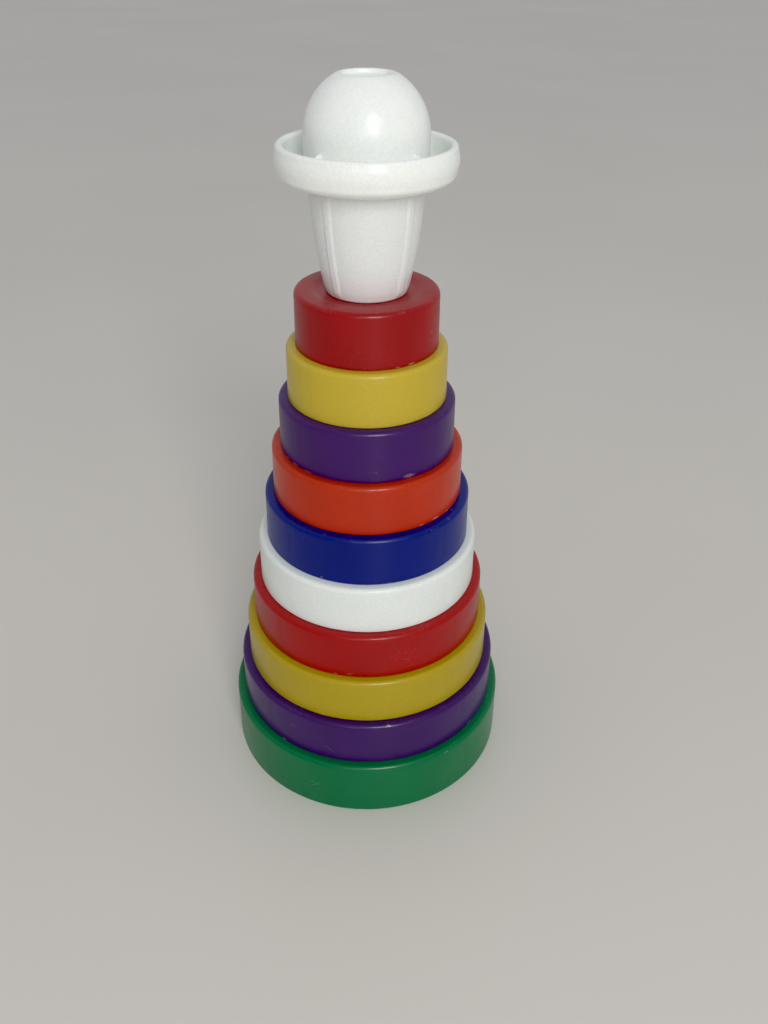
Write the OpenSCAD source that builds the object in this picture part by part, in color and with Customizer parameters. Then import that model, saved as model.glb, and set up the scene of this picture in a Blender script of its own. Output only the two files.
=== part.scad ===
// Stacking ring toy: a base with an upright post, nine loose rings that get
// smaller towards the top, and a cup-shaped head with a round hat.
// Millimetres. +Z is up, and the origin is at the middle of the base's foot.

/* [Tower] */
// Outer diameter of the base at its foot
base_d = 94.2; // [90:0.2:104]
// Height of the base
base_h = 20; // [17:0.5:26]
// Outer diameter of the smallest ring at its lower edge
top_ring_d = 41.5; // [38:0.5:48]
// Height of one ring
ring_h = 16; // [13:0.5:20]
// How far a side wall leans in over its height
wall_draft = 0.15; // [0.05:0.05:0.4]
// Thickness of the side walls
wall = 1.8; // [1.5:0.1:2.2]
// Thickness of the top plates
plate = 1.8; // [1.5:0.1:2.4]
// Radius of the rounded top edges
edge_r = 1.4; // [0.6:0.1:1.5]
// Depth of the shallow dish in each top plate
dish = 0.5; // [0.2:0.1:0.8]

/* [Post] */
// Outer diameter of the post
post_d = 14; // [11:0.5:14]
// Gap all round between the post and the bores that slide on it
post_gap = 0.8; // [0.5:0.1:1]
// Height of the post above the top ring
post_reach = 20; // [14:1:21]

/* [Head cup] */
// Outer diameter of the cup at its foot
cup_foot_d = 23; // [22.6:0.2:25]
// Outer diameter of the cup at its mouth
cup_mouth_d = 31; // [30:0.2:33]
// Height of the cup
cup_h = 29.5; // [28:0.5:34]
// How far the cup's side bulges out at half its height
cup_bow = 0.78; // [0.2:0.02:1.2]
// Width of each upright rib
rib_w = 2.4; // [1.6:0.2:3.4]
// How far the ribs stand out of the side
rib_proud = 0.35; // [0.2:0.05:0.6]
// Turn of the ribs about the post, from the 45 degree lines
rib_turn = 3; // [-10:1:10]

/* [Hat] */
// Largest diameter of the brim
brim_d = 48.4; // [46:0.2:54]
// Height of the brim, from its flat underside to its crest
brim_h = 9.5; // [8.5:0.5:11]
// Diameter of the dome
dome_d = 32.9; // [32:0.1:35]
// Height of the dome's centre above the brim's underside
dome_rise = 11.1; // [10.5:0.1:13]
// Diameter of the round recess in the crown
recess_d = 13.4; // [9:0.2:15]
// Depth of the round recess in the crown
recess_deep = 1.4; // [0.8:0.1:1.8]

/* [Hidden] */
$fn = 96;
RING_NODES = [
    "ring_1_purple", "ring_2_yellow", "ring_3_red",
    "ring_4_white", "ring_5_blue", "ring_6_orange",
    "ring_7_purple", "ring_8_yellow", "ring_9_red"
];
RING_COLORS = [
    "#42285f", "#a8913a", "#98242a",
    "#d6dad6", "#15227a", "#af3a20",
    "#42285f", "#bda83e", "#98242a"
];

ring_count = len(RING_NODES);
base_r = base_d / 2;
ring_step = (base_d - top_ring_d) / 2 / ring_count;
stack_top = base_h + ring_count * ring_h;
arc_steps = 6;

// Rings: the hub tube round the bore, and the ribs under the plate
post_r = post_d / 2;
bore_r = post_r + post_gap;
hub_wall = 1.8;
hub_r = bore_r + hub_wall;
hub_lift = 0.4;
foot_break = 0.3;
web_t = 1.4;
web_lift = 2.5;
web_count = 4;
web_turn = 45;
bore_break = 0.6;
// The dish starts inside the next ring's wall and slopes over this width
dish_slope = 2;
dish_margin = 0.4;

// Base and post: the post is pressed into a socket that hangs from the plate
socket_floor = 2;
socket_lift = 1;
press = 0.03;
post_wall = 1.6;
post_round_h = 4;
post_top = stack_top + post_reach;

// Head cup
cup_z = stack_top - dish;
cup_wall = 1.7;
cup_foot_round = 0.8;
cup_rows = 12;
cup_cavity_lift = 5;
socket_top = cup_h - 4;
seat_h = 5.2;
seam_w = 0.7;
seam_h = 0.3;

// Hat
hat_z = cup_z + cup_h;
brim_r = brim_d / 2;
dome_r = dome_d / 2;
brim_belly = 0.5;
brim_crest_r = 1.05;
brim_flat_r = 18.3;
brim_turn_h = 3;
brim_wall = 2.1;
channel_h = 3;
channel_round = 1.6;
hat_wall = 1.8;
recess_draft = 0.5;
recess_lip = 0.5;
spigot_wall = 1.6;
spigot_h = 4.6;
gusset_t = 1.2;
gusset_turn = 1;
gusset_count = 4;
belly_rows = 6;

// Radius of ring i at its lower edge, where i is 1 for the largest ring
function ring_r(i) = base_r - i * ring_step;
// Height of the lower edge of ring i
function ring_z(i) = base_h + (i - 1) * ring_h;
// Points on an arc about [x, z], from angle a to angle b
function arc(x, z, r, a, b, steps = arc_steps) =
    [for (k = [0 : steps]) let (t = a + (b - a) * k / steps) [x + r * cos(t), z + r * sin(t)]];
// Radius of the cup's side at the fraction s of its height
function cup_r(s) =
    cup_foot_d / 2 + (cup_mouth_d - cup_foot_d) / 2 * s + cup_bow * 4 * s * (1 - s);

// Outline of an open-bottomed shell: side wall, rounded edge and dished plate.
// r is the outer radius at the foot, h the height and hole_r the plate's hole.
module shell_outline(r, h, hole_r) {
    top_r = r - wall_draft;
    dish_r = r - ring_step - wall - dish_margin;
    polygon(concat(
        [
            [r - wall, 0],
            [r - foot_break, 0],
            [r, foot_break]
        ],
        arc(top_r - edge_r, h - edge_r, edge_r, 0, 90),
        [
            [dish_r, h],
            [dish_r - dish_slope, h - dish],
            [hole_r + bore_break, h - dish],
            [hole_r, h - dish - bore_break],
            [hole_r, h - dish - plate],
            [r - wall - wall_draft, h - dish - plate]
        ]
    ));
}

// Outline of a tube about the Z axis
module tube_outline(r_in, r_out, z_low, z_high) {
    translate([r_in, z_low]) square([r_out - r_in, z_high - z_low]);
}

// Radial webs between a hub and a side wall
module webs(r_in, r_out, z_low, z_high) {
    for (k = [0 : web_count - 1])
        rotate(web_turn + k * 360 / web_count)
            translate([r_in, -web_t / 2, z_low])
                cube([r_out - r_in, web_t, z_high - z_low]);
}

module base() {
    under_plate = base_h - dish - plate;
    socket_r = post_r - press;
    color("#0f6e4b") {
        rotate_extrude() {
            shell_outline(base_r, base_h, socket_r);
            tube_outline(socket_r, hub_r, socket_lift, under_plate + 0.1);
            tube_outline(0, hub_r, socket_lift, socket_lift + socket_floor);
        }
        webs(hub_r - 0.5, base_r - wall / 2 - wall_draft, web_lift, under_plate + 0.5);
    }
}

module post() {
    low = socket_lift + socket_floor;
    tip_r = post_r - post_wall;
    shoulder = post_top - post_round_h;
    color("#e4e2da")
        rotate_extrude()
            polygon(concat(
                [
                    [tip_r, low],
                    [post_r - 0.4, low],
                    [post_r, low + 0.4]
                ],
                [for (a = [0 : 10 : 90]) [post_r * cos(a), shoulder + post_round_h * sin(a)]],
                [
                    [0, post_top - post_wall],
                    [tip_r * 0.7, shoulder + post_round_h * 0.4],
                    [tip_r, shoulder - 0.5]
                ]
            ));
}

// Ring i of the tower, with its hub tube and its webs
module ring(i) {
    r = ring_r(i);
    under_plate = ring_h - dish - plate;
    color(RING_COLORS[i - 1])
        translate([0, 0, ring_z(i)]) {
            rotate_extrude() {
                shell_outline(r, ring_h, bore_r);
                tube_outline(bore_r, hub_r, hub_lift, under_plate + 0.1);
            }
            webs(hub_r - 0.5, r - wall / 2 - wall_draft, web_lift, under_plate + 0.5);
        }
}

// Outline of the cup's outside, with its side moved out by grow
module cup_outline(grow) {
    rows = [for (k = [1 : cup_rows]) k / cup_rows];
    foot_r = cup_r(0) + grow;
    polygon(concat(
        [[0, 0]],
        arc(foot_r - cup_foot_round, cup_foot_round, cup_foot_round, -90, 0),
        [for (s = rows) [cup_r(s) + grow, s * (cup_h - seam_h)]],
        [[0, cup_h - seam_h]]
    ));
}

module head_cup() {
    cavity_rows = [for (k = [0 : cup_rows]) cup_cavity_lift + (cup_h - cup_cavity_lift) * k / cup_rows];
    seat_r = cup_r(1) - cup_wall;
    wall_rows = [for (z = cavity_rows) if (z < cup_h - seat_h) z];
    color("#d9d8d3")
        translate([0, 0, cup_z])
            difference() {
                union() {
                    rotate_extrude() {
                        cup_outline(0);
                        tube_outline(seat_r - 0.2, cup_r(1) - seam_w, cup_h - seam_h - 0.1, cup_h);
                    }
                    intersection() {
                        rotate_extrude() cup_outline(rib_proud);
                        for (k = [0 : 1])
                            rotate(45 + rib_turn + k * 90)
                                translate([-brim_r, -rib_w / 2, 0])
                                    cube([brim_d, rib_w, cup_h - seam_h]);
                    }
                }
                // Bore over the post
                translate([0, 0, -1]) cylinder(r = bore_r, h = cup_h + 2);
                // Hollow between the socket tube and the side, open at the mouth
                rotate_extrude()
                    polygon(concat(
                        [[hub_r, cup_h + 1], [hub_r, cup_cavity_lift]],
                        [for (z = wall_rows) [max(hub_r + 0.1, cup_r(z / cup_h) - cup_wall), z]],
                        [[seat_r, cup_h - seat_h], [seat_r, cup_h + 1]]
                    ));
                // The socket tube stops short of the mouth
                translate([0, 0, socket_top]) cylinder(r = hub_r + 0.5, h = cup_h);
            }
}

// Outline of the hat: spigot, bowl-shaped brim, channel and dome with a recess
module hat_outline() {
    rim_r = brim_r - brim_belly;
    rim_z = brim_h - brim_crest_r;
    spigot_r = cup_r(1) - cup_wall + press;
    inner_rim_r = rim_r - brim_wall;
    lip_r = recess_d / 2;
    lip_z = dome_rise + sqrt(pow(dome_r, 2) - pow(lip_r + recess_lip, 2));
    lip_a = acos((lip_r + recess_lip) / dome_r);
    cavity_r = dome_r - hat_wall;
    floor_z = lip_z - recess_deep;
    ceiling_z = floor_z - hat_wall;
    ceiling_a = asin(min(1, (ceiling_z - dome_rise) / cavity_r));
    polygon(concat(
        [
            [spigot_r - spigot_wall, -spigot_h],
            [spigot_r - 0.4, -spigot_h],
            [spigot_r, -spigot_h + 0.8],
            [spigot_r, 0]
        ],
        [for (a = [-90 : 15 : 0])
            [brim_flat_r + (rim_r - brim_flat_r) * cos(a), brim_turn_h * (1 + sin(a))]],
        [for (k = [1 : belly_rows - 1]) let (t = k / belly_rows)
            [rim_r + brim_belly * sin(180 * t), brim_turn_h + (rim_z - brim_turn_h) * t]],
        arc(rim_r - brim_crest_r, rim_z, brim_crest_r, 0, 180, 12),
        arc(inner_rim_r - channel_round, channel_h + channel_round, channel_round, 0, -90, 4),
        [[dome_r + 0.1, channel_h]],
        arc(0, dome_rise, dome_r, 0, lip_a, 18),
        [
            [lip_r, lip_z - 0.15],
            [lip_r - recess_draft, floor_z],
            [0, floor_z - 0.4],
            [0, ceiling_z]
        ],
        arc(0, dome_rise, cavity_r, ceiling_a, 0, 10),
        [[cavity_r, brim_turn_h], [spigot_r - spigot_wall, 0.6]]
    ));
}

module hat() {
    gusset_r = brim_r - brim_belly - brim_wall;
    color("#ecedea")
        translate([0, 0, hat_z]) {
            rotate_extrude() hat_outline();
            for (k = [0 : gusset_count - 1])
                rotate(45 + gusset_turn + k * 360 / gusset_count)
                    rotate([90, 0, 0])
                        translate([0, 0, -gusset_t / 2])
                            linear_extrude(gusset_t)
                                polygon([
                                    [dome_r - 1, channel_h - 0.5],
                                    [gusset_r + 1, channel_h - 0.5],
                                    [gusset_r + 1, brim_h - 2.4],
                                    [dome_r - 0.4, brim_h - 0.6]
                                ]);
        }
}

base();
post();
for (i = [1 : ring_count])
    ring(i);
head_cup();
hat();
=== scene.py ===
import math

import bmesh
import bpy
from mathutils import Matrix, Vector, noise


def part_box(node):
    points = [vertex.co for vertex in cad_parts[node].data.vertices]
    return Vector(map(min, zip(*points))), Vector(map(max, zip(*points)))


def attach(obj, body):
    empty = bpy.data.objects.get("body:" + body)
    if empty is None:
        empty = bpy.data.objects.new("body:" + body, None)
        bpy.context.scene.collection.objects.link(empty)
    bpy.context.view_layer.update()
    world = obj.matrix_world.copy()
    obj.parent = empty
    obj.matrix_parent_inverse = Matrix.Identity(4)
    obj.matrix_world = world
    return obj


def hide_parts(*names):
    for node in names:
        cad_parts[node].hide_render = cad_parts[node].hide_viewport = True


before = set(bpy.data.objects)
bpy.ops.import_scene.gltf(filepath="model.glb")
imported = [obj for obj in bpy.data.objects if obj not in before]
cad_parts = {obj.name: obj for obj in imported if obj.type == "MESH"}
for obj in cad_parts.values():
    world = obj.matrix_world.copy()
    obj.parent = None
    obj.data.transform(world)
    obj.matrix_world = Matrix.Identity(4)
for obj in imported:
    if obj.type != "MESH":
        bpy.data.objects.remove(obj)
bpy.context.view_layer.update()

MM = 0.001
RING_NODES = sorted(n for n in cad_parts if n.startswith("ring_"))


def node_radius(node):
    """Outer radius of a round CAD node about the Z axis, in mm."""
    low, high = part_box(node)
    return max(high.x, high.y, -low.x, -low.y) / MM


def node_span(node):
    """Lowest and highest point of a CAD node, in mm."""
    low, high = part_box(node)
    return low.z / MM, high.z / MM


# ---------------------------------------------------------------- dimensions
# All in mm. Outer radii and heights come from the frame; these are the
# mouldings' own details. Most are the CAD part's; the rest are finer.
WALL = 1.8
PLATE = 1.8
DISH = 0.5
DISH_SLOPE = 2.0
DISH_MARGIN = 0.4
EDGE_R = 1.4
DRAFT = 0.15
FOOT_R = 0.35
CORNER = 0.3
POST_R = node_radius("post")
BORE_R = POST_R + 0.8
BORE_EDGE_R = 0.6
HUB_R = BORE_R + 1.8
HUB_LIFT = 0.4
WEB_T = 1.4
WEB_TAPER = 0.15
WEB_CORNER = 0.2
WEB_BITE = 0.6
WEB_LIFT = 2.5
WEB_COUNT = 4
SINK_DEEP = 0.05
SINK_HALF_W = 2.2
SOCKET_FIT = 0.03
SOCKET_LIFT = 1.0
SOCKET_FLOOR = 2.0
POST_WALL = 1.6
POST_ROUND_H = 4.0

RING_STEP = (node_radius("base") - node_radius(RING_NODES[-1])) / len(RING_NODES)

CUP_FOOT_R = 11.5
CUP_MOUTH_R = 15.5
CUP_BOW = 0.78
CUP_WALL = 1.7
CUP_SEAM_W = 0.7
CUP_SEAM_H = 0.3
CUP_SEAT_H = 5.2
CUP_CAVITY_LIFT = 5.0
CUP_SOCKET_DROP = 4.0
CUP_FOOT_EDGE_R = 0.8
RIB_W = 2.4
RIB_PROUD = 0.35
RIB_FLANK = 0.9
RIB_TURN = 3.0

BRIM_CREST_R = 1.05
BRIM_BELLY = 0.5
BRIM_FLAT_R = 18.3
BRIM_TURN_H = 3.0
BRIM_WALL = 2.1
BRIM_H = 9.5
CHANNEL_H = 3.0
CHANNEL_ROUND = 1.6
DOME_R = 16.45
DOME_RISE = 11.1
RECESS_R = 6.7
RECESS_LIP = 0.5
RECESS_DEEP = 1.4
RECESS_ROUND = 1.5
HAT_WALL = 1.8
SPIGOT_WALL = 1.6
SPIGOT_H = 4.6
CHANNEL_FOOT_R = 0.8
GUSSET_T = 1.2
GUSSET_TURN = 1.0
GUSSET_BITE = 1.0


# ---------------------------------------------------------------- mesh tools
def arc(cx, cz, r, start, end, steps):
    """Points of an arc about (cx, cz), in degrees from the radial direction."""
    points = []
    for k in range(steps + 1):
        a = math.radians(start + (end - start) * k / steps)
        points.append((cx + r * math.cos(a), cz + r * math.sin(a)))
    return points


def between(p, q, steps):
    """Points from p up to, but without, q."""
    return [
        (p[0] + (q[0] - p[0]) * k / steps, p[1] + (q[1] - p[1]) * k / steps)
        for k in range(steps)
    ]


def bend(start, corner, end, steps):
    """Points of a curve from start to end, pulled towards a corner point."""
    points = []
    for k in range(1, steps + 1):
        t = k / steps
        a, b, c = (1 - t) ** 2, 2 * t * (1 - t), t ** 2
        points.append(tuple(a * p + b * q + c * r for p, q, r in zip(start, corner, end)))
    return points


def smoothstep(x):
    x = min(1.0, max(0.0, x))
    return x * x * (3 - 2 * x)


def piece_from(bm, name):
    """Turns the build mesh into an object in the scene."""
    bmesh.ops.recalc_face_normals(bm, faces=bm.faces)
    mesh = bpy.data.meshes.new(name)
    bm.to_mesh(mesh)
    bm.free()
    piece = bpy.data.objects.new(name, mesh)
    bpy.context.scene.collection.objects.link(piece)
    return piece


def lathe(name, outline, segments, shape=None):
    """A closed solid turned from a closed outline of (radius, height) in mm.

    shape(angle, r, z) may return a changed radius and height for a point, so
    that ribs, dents and waviness are in the mesh itself."""
    bm = bmesh.new()
    rows = []
    for r, z in outline:
        if r < 1e-6:
            rows.append([bm.verts.new((0, 0, z * MM))])
            continue
        row = []
        for k in range(segments):
            a = 2 * math.pi * k / segments
            rr, zz = shape(a, r, z) if shape else (r, z)
            row.append(bm.verts.new((rr * math.cos(a) * MM, rr * math.sin(a) * MM, zz * MM)))
        rows.append(row)
    for row, after in zip(rows, rows[1:] + rows[:1]):
        if len(row) == 1 and len(after) == 1:
            continue
        for k in range(segments):
            j = (k + 1) % segments
            corners = [row[k % len(row)], row[j % len(row)],
                       after[j % len(after)], after[k % len(after)]]
            bm.faces.new(list(dict.fromkeys(corners)))
    return piece_from(bm, name)


def solid_from_sections(name, sections, matrix):
    """A closed solid lofted through sections, lists of points in mm."""
    bm = bmesh.new()
    rows = [[bm.verts.new(matrix @ (Vector(p) * MM)) for p in s] for s in sections]
    count = len(rows[0])
    for row, after in zip(rows, rows[1:]):
        for k in range(count):
            j = (k + 1) % count
            bm.faces.new([row[k], row[j], after[j], after[k]])
    bm.faces.new(rows[0])
    bm.faces.new(rows[-1])
    return piece_from(bm, name)


def unite(piece, others):
    """Joins other solids into piece with exact booleans and removes them."""
    for other in others:
        step = piece.modifiers.new("unite", "BOOLEAN")
        step.operation = "UNION"
        step.solver = "EXACT"
        step.object = other
    graph = bpy.context.evaluated_depsgraph_get()
    made = bpy.data.meshes.new_from_object(piece.evaluated_get(graph))
    piece.modifiers.clear()
    piece.data = made
    made.name = piece.name
    for other in others:
        bpy.data.objects.remove(other)


def smooth_with_creases(piece, degrees=32):
    """Smooth shading that keeps real corners crisp."""
    bm = bmesh.new()
    bm.from_mesh(piece.data)
    bmesh.ops.remove_doubles(bm, verts=bm.verts, dist=1e-6)
    limit = math.radians(degrees)
    for face in bm.faces:
        face.smooth = True
    for edge in bm.edges:
        edge.smooth = not (edge.is_manifold and edge.calc_face_angle(0) > limit)
    bm.to_mesh(piece.data)
    bm.free()


WAVE_R = 40  # radius in mm at which a wave is as long round as it is high
# Each wall's wave: its size, its amount and how far inward it is set, in mm
RING_WAVE = (14.0, 0.06, 0.04)
POST_WAVE = (20.0, 0.02, 0.015)
CUP_WAVE = (10.0, 0.05, 0.0)
HAT_WAVE = (12.0, 0.07, 0.05)


def wave(a, z, seed, kind):
    """Low, soft unevenness of a moulded wall at an angle and a height, in mm."""
    size, amount, inward = kind
    x, y = math.cos(a) * WAVE_R / size, math.sin(a) * WAVE_R / size
    return amount * noise.noise(Vector((x, y, z / size + seed))) - inward


# ---------------------------------------------------------------- materials
class Nodes:
    """Short helpers for building a material's node tree."""

    def __init__(self, name):
        self.material = bpy.data.materials.new(name)
        self.material.use_nodes = True
        self.tree = self.material.node_tree
        self.shader = self.tree.nodes["Principled BSDF"]
        self.place = self.add("ShaderNodeTexCoord").outputs["Object"]
        self.xyz = self.add("ShaderNodeSeparateXYZ", [self.place])

    def add(self, kind, inputs=(), **settings):
        made = self.tree.nodes.new(kind)
        for key, value in settings.items():
            setattr(made, key, value)
        for k, value in enumerate(inputs):
            if isinstance(value, bpy.types.NodeSocket):
                self.tree.links.new(value, made.inputs[k])
            else:
                made.inputs[k].default_value = value
        return made

    def math(self, operation, *inputs):
        return self.add("ShaderNodeMath", inputs, operation=operation).outputs[0]

    def noise(self, scale, detail=2.0, roughness=0.5, stretch=(1, 1, 1), seed=0.0, distortion=0.0):
        place = self.add("ShaderNodeMapping", [self.place])
        place.inputs["Scale"].default_value = [scale * s for s in stretch]
        place.inputs["Location"].default_value = (seed, seed * 0.7, seed * 0.3)
        made = self.add("ShaderNodeTexNoise")
        self.tree.links.new(place.outputs[0], made.inputs["Vector"])
        made.inputs["Scale"].default_value = 1.0
        made.inputs["Detail"].default_value = detail
        made.inputs["Roughness"].default_value = roughness
        made.inputs["Distortion"].default_value = distortion
        return made.outputs["Fac"]

    def span(self, value, low, high, to_low=0.0, to_high=1.0):
        made = self.add("ShaderNodeMapRange", [value, low, high, to_low, to_high])
        made.interpolation_type = "SMOOTHSTEP"
        return made.outputs[0]

    def mix(self, share, a, b):
        made = self.tree.nodes.new("ShaderNodeMix")
        made.data_type = "RGBA"
        for socket, value in ((made.inputs[0], share), (made.inputs[6], a), (made.inputs[7], b)):
            if isinstance(value, bpy.types.NodeSocket):
                self.tree.links.new(value, socket)
            else:
                socket.default_value = value
        return made.outputs[2]

    def link(self, output, name):
        self.tree.links.new(output, self.shader.inputs[name])


def linear(red, green, blue):
    """An sRGB colour, 0 to 255, as linear values."""
    def one(v):
        v = v / 255
        return v / 12.92 if v <= 0.04045 else ((v + 0.055) / 1.055) ** 2.4
    return (one(red), one(green), one(blue), 1.0)


def shifted(color, factor):
    """The colour, brighter or darker by a factor."""
    return (color[0] * factor, color[1] * factor, color[2] * factor, 1.0)


def paler(color, share):
    """The colour, moved towards white."""
    return tuple(c + (1 - c) * share for c in color[:3]) + (1.0,)


CHIP_REACH = 1.5  # how far in from the wall a mark can go, in mm
MARK_PALE = 0.42  # how far a scratch or chip goes towards white
MARK_SHARE = 0.75
SCRATCH_SHARE = 0.28
GLOSS = {
    "IOR": 1.51,
    "Specular IOR Level": 0.3,
    "Coat Weight": 0.2,
    "Coat Roughness": 0.13,
    "Subsurface Radius": (1.0, 0.8, 0.6),
}
SKIN_DEPTH = 0.12 * MM


def chip_mask(n, radius, chip):
    """A small mark on a round wall.

    chip is (azimuth in degrees from the front towards +X, height in mm, half
    width in mm, half height in mm, tilt in degrees, strength from 0 to 1)."""
    azimuth, height, half_w, half_h, tilt, strength = chip
    x, y, z = n.xyz.outputs
    angle = n.math("ARCTAN2", x, n.math("MULTIPLY", y, -1.0))
    out = n.math("SQRT", n.math("ADD", n.math("MULTIPLY", x, x), n.math("MULTIPLY", y, y)))
    along = n.math("MULTIPLY", n.math("SUBTRACT", angle, math.radians(azimuth)), radius)
    up = n.math("SUBTRACT", n.math("MULTIPLY", z, 1 / MM), height)
    c, s = math.cos(math.radians(tilt)), math.sin(math.radians(tilt))
    # Distance from the mark's middle: across it, up it and into the wall
    u = n.math("ADD", n.math("MULTIPLY", along, c / half_w), n.math("MULTIPLY", up, s / half_w))
    v = n.math("SUBTRACT",
               n.math("MULTIPLY", up, c / half_h), n.math("MULTIPLY", along, s / half_h))
    w = n.math("SUBTRACT", radius / CHIP_REACH, n.math("MULTIPLY", out, 1 / (CHIP_REACH * MM)))
    flat = n.math("ADD", n.math("MULTIPLY", u, u), n.math("MULTIPLY", v, v))
    far = n.math("SQRT", n.math("ADD", flat, n.math("MULTIPLY", w, w)))
    ragged = n.math("ADD", far, n.math("MULTIPLY", n.noise(1900, 3, 0.7, seed=azimuth), 1.6))
    return n.span(ragged, 1.2, 1.9, strength, 0.0)


def plastic(name, color, seed, radius, roughness=0.36, scatter=0.4, scatter_mm=1.6,
            wear=0.3, relief=0.3, blotch=0.06, band=None, chips=()):
    """Waxy moulded polyethylene: soft mottling, fine scuffs and pale marks.

    radius is that of the wall in mm, which places the chips. band is the
    lowest and highest height in mm of the piece's side wall, whose lower and
    upper edges carry the handling wear. Noise scales are per metre, so that
    1500 is a grain of about 0.7 mm."""
    n = Nodes(name)
    mottle = n.noise(70, 3, 0.55, seed=seed)
    base = n.mix(n.span(mottle, 0.3, 0.7), shifted(color, 1 - blotch), shifted(color, 1 + blotch))
    grain = n.noise(1500, 2, seed=seed + 3)
    base = n.mix(n.span(grain, 0.35, 0.75, 0.0, 0.5), base, shifted(color, 1.12))

    # Long hair-fine scratches: the thin zero lines of a stretched noise
    line_a = n.noise(150, 2, 0.6, stretch=(1, 1, 3.2), seed=seed + 11, distortion=0.4)
    line_b = n.noise(190, 2, 0.6, stretch=(2.6, 1, 1), seed=seed + 23, distortion=0.5)
    near_a = n.span(n.math("ABSOLUTE", n.math("SUBTRACT", line_a, 0.5)), 0.0, 0.0035, 1.0, 0.0)
    near_b = n.span(n.math("ABSOLUTE", n.math("SUBTRACT", line_b, 0.5)), 0.0, 0.003, 1.0, 0.0)
    patches = n.span(n.noise(55, 2, seed=seed + 31), 0.56, 0.72)
    scratch = n.math("MULTIPLY", n.math("MAXIMUM", near_a, near_b), patches)

    marks = n.math("MULTIPLY", scratch, SCRATCH_SHARE)
    if band:
        low, high = band
        height = n.math("MULTIPLY", n.xyz.outputs[2], 1 / MM)
        foot = n.span(height, low + 0.15, low + 0.8, 1.0, 0.0)
        crown = n.span(height, high - 1.0, high - 0.4, 0.0, 0.6)
        rub = n.span(n.noise(900, 4, 0.7, seed=seed + 41), 0.55, 0.68)
        gaps = n.span(n.noise(60, 2, seed=seed + 43), 0.5, 0.66)
        edges = n.math("MULTIPLY", n.math("MAXIMUM", foot, crown), n.math("MULTIPLY", rub, gaps))
        marks = n.math("MAXIMUM", marks, n.math("MULTIPLY", edges, wear))
    for chip in chips:
        marks = n.math("MAXIMUM", marks, chip_mask(n, radius, chip))

    base = n.mix(n.math("MULTIPLY", marks, MARK_SHARE), base, paler(color, MARK_PALE))
    n.link(base, "Base Color")

    smudge = n.span(n.noise(38, 4, 0.6, seed=seed + 53), 0.3, 0.72,
                    roughness - 0.05, roughness + 0.07)
    rough = n.math("ADD", smudge, n.math("MULTIPLY", marks, 0.22))
    n.link(rough, "Roughness")

    peel = n.noise(520, 2, seed=seed + 61)
    skin = n.math("ADD", n.math("MULTIPLY", peel, 0.2), n.math("MULTIPLY", grain, 0.08))
    skin = n.math("SUBTRACT", skin, n.math("MULTIPLY", marks, 0.6))
    bump = n.add("ShaderNodeBump")
    bump.inputs["Strength"].default_value = relief
    bump.inputs["Distance"].default_value = SKIN_DEPTH
    n.tree.links.new(skin, bump.inputs["Height"])
    n.link(bump.outputs[0], "Normal")

    for socket, value in GLOSS.items():
        n.shader.inputs[socket].default_value = value
    n.shader.inputs["Subsurface Weight"].default_value = scatter
    n.shader.inputs["Subsurface Scale"].default_value = scatter_mm * MM
    return n.material


# ---------------------------------------------------------------- ring and base mouldings
def shell_outline(r, z, h, hole_r, hub_low):
    """Closed outline of a ring or of the base: wall, plate and hub tube."""
    top_r = r - DRAFT
    inner_r = r - WALL - DRAFT
    dish_r = r - RING_STEP - WALL - DISH_MARGIN
    dish_foot = dish_r - DISH_SLOPE
    under = h - DISH - PLATE
    points = [(r - WALL + 0.25, 0.0)]
    points += arc(r - FOOT_R, FOOT_R, FOOT_R, -90, 0, 4)
    points += between((r - 0.01, 0.7), (top_r, h - EDGE_R), 12)
    points += arc(top_r - EDGE_R, h - EDGE_R, EDGE_R, 0, 90, 8)
    points += [(dish_r + 0.25, h), (dish_r - 0.1, h - 0.05)]
    points += [(dish_foot + 0.3, h - DISH + 0.05), (dish_foot - 0.2, h - DISH)]
    points += arc(hole_r + BORE_EDGE_R, h - DISH - BORE_EDGE_R, BORE_EDGE_R, 90, 180, 4)
    points += [(hole_r, hub_low + CORNER), (hole_r + CORNER, hub_low)]
    points += [(HUB_R - CORNER, hub_low), (HUB_R, hub_low + CORNER)]
    points += [(HUB_R, under - 0.5), (HUB_R + 0.5, under)]
    points += [(inner_r - 0.5, under), (inner_r, under - 0.5), (r - WALL, 0.25)]
    return [(pr, pz + z) for pr, pz in points]


def web_solids(name, r_in, r_out, z_low, z_high):
    """The radial webs under the plate, a little thinner at their free edge."""
    made = []
    for k in range(WEB_COUNT):
        turn = Matrix.Rotation(math.radians(45 + k * 360 / WEB_COUNT), 4, "Z")
        high = WEB_T / 2
        low = high - WEB_TAPER
        tip, side = low - WEB_CORNER, z_low + WEB_CORNER
        section = [(-tip, z_low), (tip, z_low), (low, side),
                   (high, z_high), (-high, z_high), (-low, side)]
        made.append(solid_from_sections(
            f"{name}_web_{k}", [[(r, w, z) for w, z in section] for r in (r_in, r_out)], turn))
    return made


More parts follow.
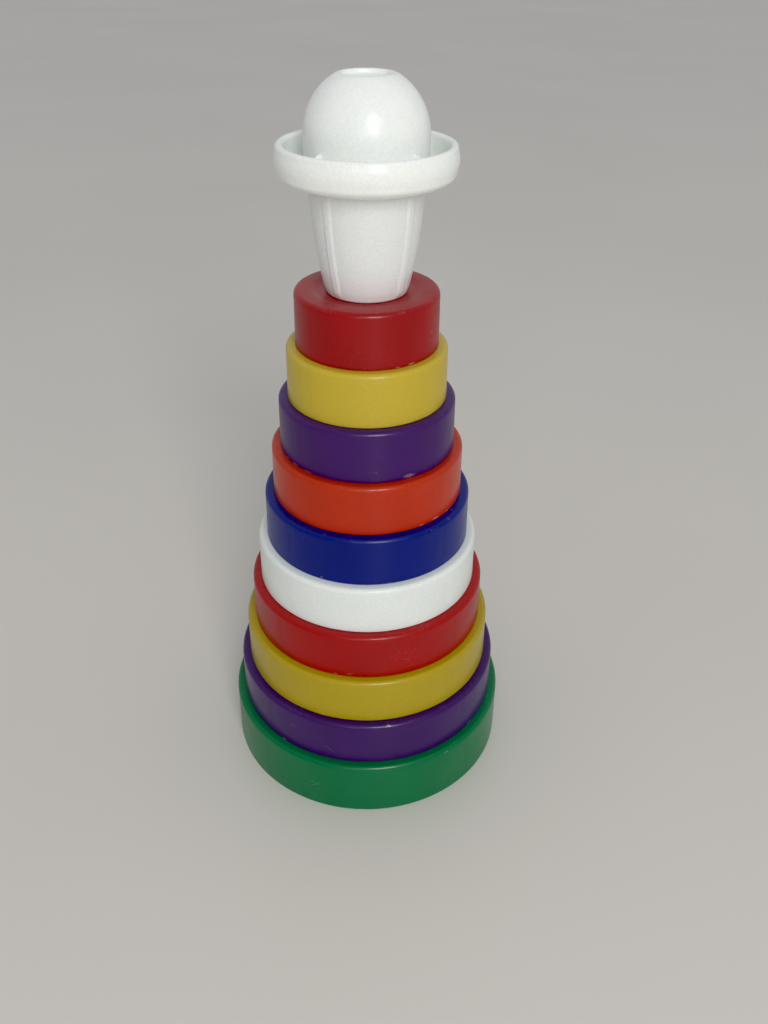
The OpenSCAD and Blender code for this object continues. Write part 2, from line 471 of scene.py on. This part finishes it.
def moulding(node, body, hole_r, hub_low, seed, dents=()):
    """A ring or the base, with its waviness, sink marks and dents as mesh.

    A dent is (azimuth in degrees from the front towards +X, height above the
    foot, half width, half height, depth), in mm."""
    r = node_radius(node)
    low, high = node_span(node)
    h = high - low
    under = h - DISH - PLATE

    def shape(a, pr, pz):
        if pr < r - WALL + 0.1 or pz - low > h - 0.02:
            return pr, pz
        azimuth = math.degrees(math.atan2(math.cos(a), -math.sin(a)))
        out = wave(a, pz, seed, RING_WAVE)
        from_web = math.radians(abs(azimuth % 90 - 45)) * r
        sink = SINK_DEEP * (1 - smoothstep(from_web / SINK_HALF_W))
        sink *= smoothstep((pz - low - WEB_LIFT) / 2)
        dent = 0.0
        for at, height, half_w, half_h, depth in dents:
            du = math.radians(azimuth - at) * r / half_w
            dv = (pz - low - height) / half_h
            dent = max(dent, depth * (1 - smoothstep(math.hypot(du, dv))))
        return pr + out - sink - dent, pz

    piece = lathe(node + "_moulding", shell_outline(r, low, h, hole_r, hub_low), 360, shape)
    webs = web_solids(node, HUB_R - WEB_BITE, r - WALL / 2 - DRAFT,
                      low + WEB_LIFT, low + under + WEB_BITE)
    unite(piece, webs)
    smooth_with_creases(piece)
    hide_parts(node)
    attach(piece, body)
    return piece


# For each ring, from the largest: its sRGB colour, its chips and its dents. A
# chip is as chip_mask says, but with its height above the ring's own foot.
RINGS = {
    "ring_1_purple": ((60, 25, 94), [
        (9.0, 15.6, 1.0, 0.35, 0, 0.9), (-33, 9.5, 1.8, 0.10, -14, 0.4),
        (-16, 4.5, 2.4, 0.08, -38, 0.35), (-39, 0.6, 0.9, 0.35, 0, 0.6),
        (52, 0.5, 1.8, 0.3, 0, 0.5)], []),
    "ring_2_yellow": ((172, 151, 34), [
        (-20, 0.5, 1.0, 0.25, 0, 0.4), (38, 0.5, 1.2, 0.25, 0, 0.4)], []),
    "ring_3_red": ((156, 18, 19), [
        (-8, 1.2, 1.2, 0.16, 12, 0.45), (-15, 0.6, 0.8, 0.22, 0, 0.5)], []),
    "ring_4_white": ((226, 231, 227), [], []),
    "ring_5_blue": ((0, 23, 117), [
        (-25, 0.8, 0.4, 0.4, 0, 0.6), (12, 0.4, 0.7, 0.2, 0, 0.5)], []),
    "ring_6_orange": ((181, 51, 23), [
        (33, 0.5, 1.0, 0.35, 0, 0.5), (44, 0.8, 1.3, 0.4, 0, 0.6),
        (55, 0.5, 0.7, 0.35, 0, 0.5)], []),
    "ring_7_purple": ((66, 28, 98), [
        (27, 0.9, 2.2, 0.8, 0, 0.38), (-62, 0.4, 1.0, 0.25, 0, 0.5),
        (-52, 0.4, 1.4, 0.25, 0, 0.6), (-40, 0.3, 2.2, 0.18, 0, 0.5)],
        [(27, 0.8, 3.0, 1.4, 0.35)]),
    "ring_8_yellow": ((193, 170, 58), [(46, 0.5, 1.1, 0.3, 0, 0.4)], []),
    "ring_9_red": ((151, 21, 25), [
        (60, 7.0, 0.35, 0.5, 0, 0.4), (63, 4.6, 0.3, 0.4, 0, 0.35),
        (57, 5.4, 0.25, 0.3, 0, 0.35), (24, 0.4, 0.8, 0.22, 0, 0.4),
        (36, 0.5, 1.2, 0.28, 0, 0.5), (68, 9.5, 0.3, 0.4, 0, 0.35)], []),
}
PALE_RINGS = ("ring_4_white", "ring_2_yellow", "ring_8_yellow")
PALE_FINISH = {"scatter": 0.3, "scatter_mm": 2.0, "wear": 0.15, "relief": 0.15, "blotch": 0.015}


def build_rings():
    for k, node in enumerate(RING_NODES, 1):
        color, chips, dents = RINGS[node]
        low, high = node_span(node)
        piece = moulding(node, f"ring_{k}", BORE_R, HUB_LIFT, seed=k * 7.3, dents=dents)
        placed = [(at, low + height, *mark) for at, height, *mark in chips]
        finish = PALE_FINISH if node in PALE_RINGS else {}
        piece.data.materials.append(plastic(
            node + "_plastic", linear(*color), seed=k * 5.1, radius=node_radius(node),
            band=(low, high), chips=placed, **finish))


def build_base():
    piece = moulding("base", "base", POST_R - SOCKET_FIT, SOCKET_LIFT, seed=2.2)
    floor_r, floor_top = HUB_R - 0.4, SOCKET_LIFT + SOCKET_FLOOR
    floor = lathe("base_floor", [
        (0, SOCKET_LIFT), (floor_r, SOCKET_LIFT), (floor_r, floor_top), (0, floor_top)], 96)
    unite(piece, [floor])
    smooth_with_creases(piece)
    low, high = node_span("base")
    chips = [(-22, 8.6, 3.2, 0.08, 44, 0.45), (-20, 9.4, 1.5, 0.07, 50, 0.35),
             (34, 18.9, 1.0, 0.25, 0, 0.4)]
    piece.data.materials.append(plastic(
        "base_plastic", linear(0, 110, 64), seed=3.7, radius=node_radius("base"),
        band=(low, high), chips=chips))


def build_post():
    low, high = node_span("post")
    shoulder = high - POST_ROUND_H
    tip_r = POST_R - POST_WALL
    outline = [(tip_r, low), (POST_R - 0.4, low)]
    outline += between((POST_R, low + 0.4), (POST_R, shoulder), 30)
    for degrees in range(0, 90, 6):
        a = math.radians(degrees)
        outline.append((POST_R * math.cos(a), shoulder + POST_ROUND_H * math.sin(a)))
    outline += [(0, high), (0, high - POST_WALL)]
    outline += [(tip_r * 0.7, shoulder + POST_ROUND_H * 0.4), (tip_r, shoulder - 0.5)]

    def shape(a, r, z):
        if r > tip_r + 0.3 and z < shoulder:
            r += wave(a, z, 4.0, POST_WAVE)
        return r, z

    piece = lathe("post_tube", outline, 160, shape)
    smooth_with_creases(piece)
    piece.data.materials.append(plastic(
        "post_plastic", linear(228, 226, 218), seed=9.1, radius=POST_R, roughness=0.34,
        scatter=0.25, scatter_mm=2.0, relief=0.1, blotch=0.01))
    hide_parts("post")
    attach(piece, "base")


# ---------------------------------------------------------------- head cup
def cap_plastic(name, color, seed):
    """The waxy white of the cup and the hat."""
    return plastic(name, color, seed=seed, radius=CUP_MOUTH_R, roughness=0.32, scatter=0.35,
                   scatter_mm=2.5, relief=0.1, blotch=0.01)


def cup_radius(s):
    """Outer radius of the cup at a share s of its height."""
    return CUP_FOOT_R + (CUP_MOUTH_R - CUP_FOOT_R) * s + CUP_BOW * 4 * s * (1 - s)


def build_cup():
    low, high = node_span("head_cup")
    h = high - low
    side_h = h - CUP_SEAM_H
    mouth_r = cup_radius(1)
    seam_r = mouth_r - CUP_SEAM_W
    seat_r = mouth_r - CUP_WALL
    socket_top = h - CUP_SOCKET_DROP
    outline = [(BORE_R + 0.4, 0.0)]
    outline += arc(CUP_FOOT_R - CUP_FOOT_EDGE_R, CUP_FOOT_EDGE_R, CUP_FOOT_EDGE_R, -90, 0, 6)
    rows = 36
    outline += [(cup_radius(k / rows), side_h * k / rows) for k in range(2, rows)]
    outline += arc(mouth_r - CORNER, side_h - CORNER, CORNER, 0, 90, 3)
    outline += [(seam_r, side_h), (seam_r, h), (seat_r, h), (seat_r, h - CUP_SEAT_H)]
    for k in range(12, 0, -1):
        z = CUP_CAVITY_LIFT + (h - CUP_SEAT_H - 0.4 - CUP_CAVITY_LIFT) * (k / 12)
        outline.append((max(HUB_R + 0.1, cup_radius(z / h) - CUP_WALL), z))
    outline += [(HUB_R + 0.1, CUP_CAVITY_LIFT), (HUB_R, CUP_CAVITY_LIFT)]
    outline += [(HUB_R, socket_top - CORNER), (HUB_R - CORNER, socket_top)]
    outline += [(BORE_R + CORNER, socket_top), (BORE_R, socket_top - CORNER), (BORE_R, 0.4)]

    def shape(a, r, z):
        at = z - low
        outer = 0.4 < at < side_h - 0.1 and r > cup_radius(at / h) - 0.6
        if not outer:
            return r, z
        away = (math.degrees(a) - 45 - RIB_TURN) % 90
        away = math.radians(min(away, 90 - away)) * r
        rib = 1 - smoothstep((away - RIB_W / 2 + RIB_FLANK / 2) / RIB_FLANK)
        fade = smoothstep((at - 0.4) / 1.2)
        return r + RIB_PROUD * rib * fade + wave(a, z, 6.0, CUP_WAVE), z

    piece = lathe("head_cup_moulding", [(r, z + low) for r, z in outline], 480, shape)
    smooth_with_creases(piece, 40)
    # Painted shade: the cup's white is a little darker than the hat's, though both are one plastic,
    # because the cup under the brim gets less light than the dome
    piece.data.materials.append(cap_plastic("head_cup_plastic", linear(229, 231, 229), seed=12.0))
    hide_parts("head_cup")
    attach(piece, "cap")


# ---------------------------------------------------------------- hat
def hat_outline(base_z):
    """Closed outline of the hat: spigot, brim, channel, dome, recess, cavity."""
    rim_r = node_radius("hat") - BRIM_BELLY
    rim_z = BRIM_H - BRIM_CREST_R
    spigot_r = cup_radius(1) - CUP_WALL
    inner_rim_r = rim_r - BRIM_WALL
    lip_r = RECESS_R + RECESS_LIP
    lip_z = DOME_RISE + math.sqrt(DOME_R ** 2 - lip_r ** 2)
    turn_r = RECESS_R + RECESS_ROUND
    turn_z = DOME_RISE + math.sqrt(DOME_R ** 2 - turn_r ** 2)
    turn_a = math.degrees(math.acos(turn_r / DOME_R))
    floor_z = lip_z - RECESS_DEEP
    ceiling_z = floor_z - HAT_WALL
    cavity_r = DOME_R - HAT_WALL
    ceiling_a = math.degrees(math.asin(min(1, (ceiling_z - DOME_RISE) / cavity_r)))
    points = [(spigot_r - SPIGOT_WALL, -SPIGOT_H), (spigot_r - 0.4, -SPIGOT_H)]
    points += [(spigot_r, -SPIGOT_H + 0.8), (spigot_r, -CORNER), (spigot_r + CORNER, 0)]
    points += [(BRIM_FLAT_R - 1, 0)]
    for k in range(15):
        a = math.radians(-90 + 90 * k / 14)
        points.append((BRIM_FLAT_R + (rim_r - BRIM_FLAT_R) * math.cos(a),
                       BRIM_TURN_H * (1 + math.sin(a))))
    for k in range(1, 10):
        t = k / 10
        points.append((rim_r + BRIM_BELLY * math.sin(math.pi * t),
                       BRIM_TURN_H + (rim_z - BRIM_TURN_H) * t))
    points += arc(rim_r - BRIM_CREST_R, rim_z, BRIM_CREST_R, 0, 180, 14)
    channel_side = CHANNEL_H + CHANNEL_ROUND
    points += between((inner_rim_r, rim_z - 0.6), (inner_rim_r, channel_side), 4)
    points += arc(inner_rim_r - CHANNEL_ROUND, channel_side, CHANNEL_ROUND, 0, -90, 6)
    points += arc(DOME_R + CHANNEL_FOOT_R, CHANNEL_H + CHANNEL_FOOT_R, CHANNEL_FOOT_R, -90, -180, 4)
    points += between((DOME_R, CHANNEL_H + 1.5), (DOME_R, DOME_RISE), 6)
    points += arc(0, DOME_RISE, DOME_R, 0, turn_a, 34)
    side_r = RECESS_R - 0.4
    points += bend((turn_r, turn_z), (RECESS_R - 0.25, lip_z + 0.3), (side_r, floor_z + 0.55), 10)
    points += bend((side_r, floor_z + 0.5), (RECESS_R - 0.5, floor_z),
                   (RECESS_R - 1.3, floor_z - 0.02), 5)
    points += [(RECESS_R * 0.5, floor_z - 0.12), (0, floor_z - 0.2), (0, ceiling_z)]
    points += arc(0, DOME_RISE, cavity_r, ceiling_a, 0, 14)
    points += [(cavity_r, BRIM_TURN_H), (spigot_r - SPIGOT_WALL, 0.6)]
    return [(r, z + base_z) for r, z in points]


def gusset_solids(base_z):
    """Four small fins that brace the brim against the dome."""
    made = []
    inner = DOME_R - GUSSET_BITE
    outer = node_radius("hat") - BRIM_BELLY - BRIM_WALL + GUSSET_BITE
    crest = ((inner, BRIM_H - 0.5), (DOME_R + 1.0, BRIM_H - 0.7),
             (DOME_R + 3.4, BRIM_H - 1.9), (outer, BRIM_H - 2.3))
    low = base_z + CHANNEL_H - 0.5
    w = GUSSET_T / 2
    for k in range(4):
        turn = Matrix.Rotation(math.radians(45 + GUSSET_TURN + 90 * k), 4, "Z")
        sections = []
        for r, top in crest:
            top += base_z
            sections.append([
                (r, -w - 0.1, low), (r, w + 0.1, low), (r, w - 0.1, top - 0.45),
                (r, w - 0.3, top - 0.12), (r, 0, top), (r, -w + 0.3, top - 0.12),
                (r, -w + 0.1, top - 0.45)])
        made.append(solid_from_sections(f"gusset_{k}", sections, turn))
    return made


def build_hat():
    base_z = node_span("head_cup")[1]

    def shape(a, r, z):
        at = z - base_z
        if at < 0.1 or (r < DOME_R - 1.2 and at < DOME_RISE):
            return r, z
        return r + wave(a, z, 8.0, HAT_WAVE) * smoothstep(r / 8), z

    piece = lathe("hat_moulding", hat_outline(base_z), 300, shape)
    unite(piece, gusset_solids(base_z))
    smooth_with_creases(piece, 40)
    # Painted light: the hat's white is a little brighter than the cup's, though both are one
    # plastic, for the stronger light that falls on the dome from above
    piece.data.materials.append(cap_plastic("hat_plastic", linear(240, 243, 239), seed=15.0))
    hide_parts("hat")
    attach(piece, "cap")


# ---------------------------------------------------------------- stage, lights and camera
WORLD_TINT = (0.965, 0.975, 1.0, 1.0)
WORLD_SLOPE = (-1.0, 1.0)
WORLD_STRENGTH = (0.3, 0.55)
WINDOW_DISTANCE = 1.5
WINDOW_TARGET = (0, 0, 0.15)
CAMERA_AT = (0.0005, -0.2468, 0.2526)
CAMERA_PITCH, CAMERA_YAW, CAMERA_ROLL = 33.58, 1.15, 0.63
CAMERA_LENS = 32.05
BLACK_LEVEL = 0.014


def build_stage():
    """A pale floor, and a studio world that fades from overhead to the front."""
    bpy.ops.mesh.primitive_plane_add(size=30)
    floor = bpy.context.object
    floor.name = "floor"
    n = Nodes("floor_finish")
    tone = n.span(n.noise(3, 3), 0.3, 0.7)
    n.link(n.mix(tone, linear(212, 208, 201), linear(216, 212, 205)), "Base Color")
    n.shader.inputs["Roughness"].default_value = 0.38
    floor.data.materials.append(n.material)

    world = bpy.data.worlds.new("studio")
    bpy.context.scene.world = world
    world.use_nodes = True
    nodes, links = world.node_tree.nodes, world.node_tree.links
    sky = nodes["Background"]
    sky.inputs["Color"].default_value = WORLD_TINT
    # Dim low down in front, brighter overhead and behind: a ramp over y + z
    direction = nodes.new("ShaderNodeTexCoord")
    parts = nodes.new("ShaderNodeSeparateXYZ")
    ramp = nodes.new("ShaderNodeMapRange")
    ramp.interpolation_type = "SMOOTHSTEP"
    for socket, value in zip(ramp.inputs[1:5], WORLD_SLOPE + WORLD_STRENGTH):
        socket.default_value = value
    slope = nodes.new("ShaderNodeMath")
    links.new(direction.outputs["Generated"], parts.inputs[0])
    links.new(parts.outputs[1], slope.inputs[0])
    links.new(parts.outputs[2], slope.inputs[1])
    links.new(slope.outputs[0], ramp.inputs[0])
    links.new(ramp.outputs[0], sky.inputs["Strength"])


def window(name, azimuth, elevation, width, height, watts, tint):
    """A soft window-like light, aimed at the toy's upper half.

    Angles are in degrees, azimuth from the front towards +X; sizes in metres."""
    a, e = math.radians(azimuth), math.radians(elevation)
    back = Vector((math.sin(a) * math.cos(e), -math.cos(a) * math.cos(e), math.sin(e)))
    lamp = bpy.data.lights.new(name, "AREA")
    lamp.shape = "RECTANGLE"
    lamp.size = width
    lamp.size_y = height
    lamp.energy = watts
    lamp.color = tint
    holder = bpy.data.objects.new(name, lamp)
    bpy.context.scene.collection.objects.link(holder)
    holder.location = Vector(WINDOW_TARGET) + back * WINDOW_DISTANCE
    holder.rotation_mode = "QUATERNION"
    holder.rotation_quaternion = back.to_track_quat("Z", "Y")


def build_lights():
    window("window_right", 13, 28, 0.48, 0.75, 12, (1.0, 0.99, 0.97))
    window("window_left", -12, 17, 0.2, 0.25, 1, (0.85, 0.93, 1.0))


def build_camera():
    """The photograph's view: close, above the toy, looking down."""
    data = bpy.data.cameras.new("camera")
    camera = bpy.data.objects.new("camera", data)
    bpy.context.scene.collection.objects.link(camera)
    camera.location = CAMERA_AT
    turn = Matrix.Rotation(math.radians(-CAMERA_YAW), 4, "Z")
    turn = turn @ Matrix.Rotation(math.radians(90 - CAMERA_PITCH), 4, "X")
    turn = turn @ Matrix.Rotation(math.radians(CAMERA_ROLL), 4, "Z")
    camera.rotation_euler = turn.to_euler()
    data.sensor_width = 36.0
    data.lens = CAMERA_LENS
    data.clip_start = 0.01
    data.clip_end = 100
    bpy.context.scene.camera = camera


def set_view():
    """A plain view transform, with blacks a little deeper, as in the photograph."""
    view = bpy.context.scene.view_settings
    view.view_transform = "Standard"
    view.use_curve_mapping = True
    view.curve_mapping.black_level = (BLACK_LEVEL,) * 3
    view.curve_mapping.update()


build_base()
build_post()
build_rings()
build_cup()
build_hat()
build_stage()
build_lights()
build_camera()
set_view()
